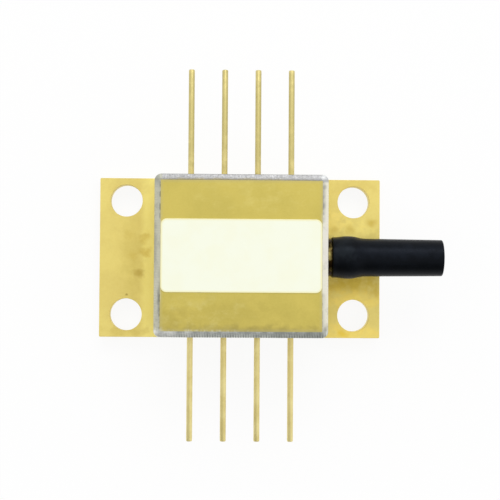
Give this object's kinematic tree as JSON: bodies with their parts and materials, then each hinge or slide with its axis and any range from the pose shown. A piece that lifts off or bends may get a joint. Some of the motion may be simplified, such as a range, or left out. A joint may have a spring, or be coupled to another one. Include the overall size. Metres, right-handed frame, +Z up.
{
  "type": "superluminescent diode module",
  "caption": "Gold-plated butterfly package with a drilled base flange, a seam-welded lid, straight round leads on two sides and a rubber fibre boot; a cooled light source.",
  "frame": {"origin": "middle of the flange hole pattern, on the underside of the base", "axes": "+X along the fibre towards the boot, +Y across the leads, +Z up through the lid"},
  "size_m": [0.0263, 0.0282, 0.0073],
  "materials": {
    "gold_base": "satin gold plating",
    "gold_walls": "satin gold plating",
    "gold_lid": "brushed gold plating",
    "weld_metal": "rolled weld track",
    "label_film": "matte",
    "gold_leads": "satin gold plating",
    "seal_glass": "fused",
    "boot_rubber": "matte",
    "ferrule_metal": "satin",
    "fibre_glass": "clear",
    "solder": "satin",
    "white_ceramic": "matte",
    "thermoelectric": "satin",
    "copper": "satin",
    "gold_bench": "satin gold plating",
    "semiconductor": "polished",
    "thermistor_body": "matte",
    "gold_wire": "polished"
  },
  "bodies": {
    "root": {"base_plate": "gold_base", "wall_frame": "gold_walls", "snout_tube": "gold_walls", "lid": "gold_lid", "seam_weld": "weld_metal", "label": "label_film", "lead_1": "gold_leads", "lead_2": "gold_leads", "lead_3": "gold_leads", "lead_4": "gold_leads", "lead_5": "gold_leads", "lead_6": "gold_leads", "lead_7": "gold_leads", "lead_8": "gold_leads", "glass_seal_1": "seal_glass", "glass_seal_2": "seal_glass", "glass_seal_3": "seal_glass", "glass_seal_4": "seal_glass", "glass_seal_5": "seal_glass", "glass_seal_6": "seal_glass", "glass_seal_7": "seal_glass", "glass_seal_8": "seal_glass", "boot": "boot_rubber", "fibre_ferrule": "ferrule_metal", "ferrule_clip": "ferrule_metal", "lensed_fibre": "fibre_glass", "solder_seal": "solder", "tec_hot_plate": "white_ceramic", "tec_cold_plate": "white_ceramic", "chip_submount": "white_ceramic", "pd_block": "white_ceramic", "tec_pellets": "thermoelectric", "tec_hot_tabs": "copper", "tec_cold_tabs": "copper", "tec_post_1": "copper", "tec_post_2": "copper", "optical_bench": "gold_bench", "diode_chip": "semiconductor", "monitor_photodiode": "semiconductor", "thermistor": "thermistor_body", "bond_wires": "gold_wire"}
  },
  "joints": []
}
